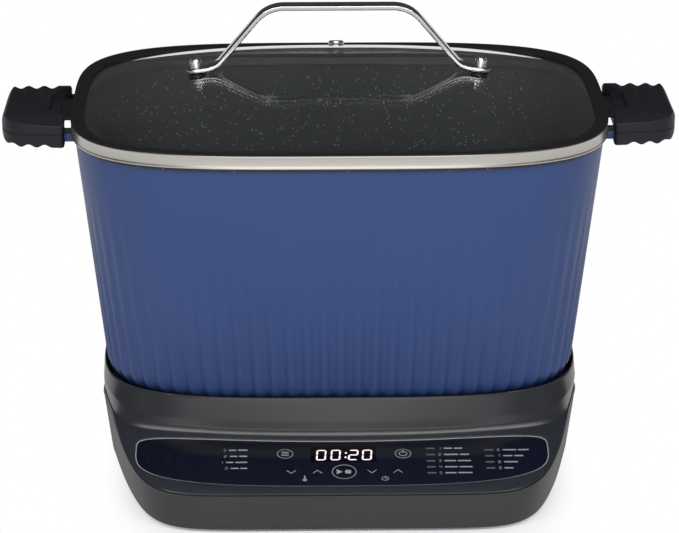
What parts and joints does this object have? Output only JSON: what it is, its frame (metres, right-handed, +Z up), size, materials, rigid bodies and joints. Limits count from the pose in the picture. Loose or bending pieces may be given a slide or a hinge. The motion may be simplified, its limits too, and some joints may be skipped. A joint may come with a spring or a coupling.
{
  "type": "stirring multicooker",
  "caption": "Stirring multicooker: fluted lift-off pot with soft side grips, domed glass lid with a bent steel handle, and a heated base with a sloping touch control shelf.",
  "frame": {"origin": "centre of the footprint on the table, under the middle of the overall box", "axes": "+X to the right across the two side grips, +Y to the back, +Z up; the control shelf faces -Y"},
  "size_m": [0.412, 0.294, 0.2757],
  "materials": {
    "pot_blue": "satin blue fired coat",
    "grip_silicone": "matte black silicone",
    "lid_glass": "clear tempered glass",
    "rim_steel": "brushed stainless band",
    "seal_silicone": "black silicone seal",
    "handle_steel": "polished stainless strip",
    "post_steel": "satin stainless turned parts",
    "base_charcoal": "fine matte charcoal plastic",
    "collar_charcoal": "fine matte charcoal plastic",
    "panel_gloss": "gloss near-black touch panel",
    "display_black": "smoked display block",
    "board_green": "printed circuit board",
    "board_parts": "moulded electrical parts",
    "plate_aluminium": "machined cast aluminium",
    "element_metal": "oxidised sheath",
    "cutout_ceramic": "ceramic body",
    "shield_steel": "plain sheet",
    "motor_steel": "drawn can",
    "gear_plastic": "white acetal",
    "bush_bronze": "sintered bronze",
    "inlet_plastic": "black moulded socket",
    "pin_brass": "plated brass",
    "foot_rubber": "black rubber",
    "screw_steel": "zinc plated",
    "sensor_metal": "bright cap",
    "shaft_steel": "ground steel",
    "coupler_plastic": "glass-filled nylon",
    "paddle_plastic": "food-safe black nylon"
  },
  "bodies": {
    "base": {"lower_housing": "base_charcoal", "upper_housing": "collar_charcoal", "control_panel": "panel_gloss", "display_module": "display_black", "touch_board": "board_green", "power_board": "board_green", "board_parts": "board_parts", "heating_plate": "plate_aluminium", "heating_element": "element_metal", "thermal_cutout": "cutout_ceramic", "heat_shield": "shield_steel", "stir_motor": "motor_steel", "gear_case": "gear_plastic", "gear_cover": "gear_plastic", "shaft_bushes": "bush_bronze", "power_inlet": "inlet_plastic", "inlet_pins": "pin_brass", "rubber_feet": "foot_rubber", "housing_screws": "screw_steel", "sensor_holder": "cutout_ceramic", "sensor_spring": "shaft_steel"},
    "sensor": {"sensor_plunger": "sensor_metal"},
    "drive": {"drive_shaft": "shaft_steel", "drive_gear": "gear_plastic", "drive_coupler": "coupler_plastic"},
    "pinion": {"motor_pinion": "pin_brass"},
    "pot": {"pot_shell": "pot_blue", "grip_left": "grip_silicone", "grip_right": "grip_silicone", "spindle_bush": "bush_bronze", "spindle_seal": "seal_silicone"},
    "spindle": {"stir_spindle": "shaft_steel"},
    "paddle": {"stir_paddle": "paddle_plastic"},
    "lid": {"lid_glass": "lid_glass", "lid_rim": "rim_steel", "lid_seal": "seal_silicone", "lid_handle": "handle_steel", "handle_posts": "post_steel", "handle_bolts": "post_steel", "handle_washers": "seal_silicone", "vent_eyelet": "post_steel"}
  },
  "joints": [
    {"name": "sensor_press", "type": "slide", "parent": "base", "child": "sensor", "axis": [0, 0, 1], "range_m": [-0.002, 0], "stiffness_N_per_m": 120, "springref_m": 0.004, "deforming": ["sensor_spring"]},
    {"name": "drive_turn", "type": "hinge", "parent": "base", "child": "drive", "pos_m": [0, 0.023, 0.03], "axis": [0, 0, 1], "continuous": true},
    {"name": "pinion_turn", "type": "hinge", "parent": "base", "child": "pinion", "pos_m": [0.03375, 0.023, 0.025], "axis": [0, 0, 1], "continuous": true},
    {"name": "pot_lift", "type": "slide", "parent": "base", "child": "pot", "axis": [0, 0, 1], "range_m": [0, 0.12]},
    {"name": "spindle_turn", "type": "hinge", "parent": "pot", "child": "spindle", "pos_m": [0, 0.023, 0.06], "axis": [0, 0, 1], "continuous": true},
    {"name": "paddle_lift", "type": "slide", "parent": "spindle", "child": "paddle", "axis": [0, 0, 1], "range_m": [0, 0.09]},
    {"name": "lid_lift", "type": "slide", "parent": "pot", "child": "lid", "axis": [0, 0, 1], "range_m": [0, 0.15]}
  ],
  "couplings": [
    {"joint": "pinion_turn", "follows": "drive_turn", "ratio": -4},
    {"joint": "spindle_turn", "follows": "drive_turn", "ratio": 1}
  ]
}
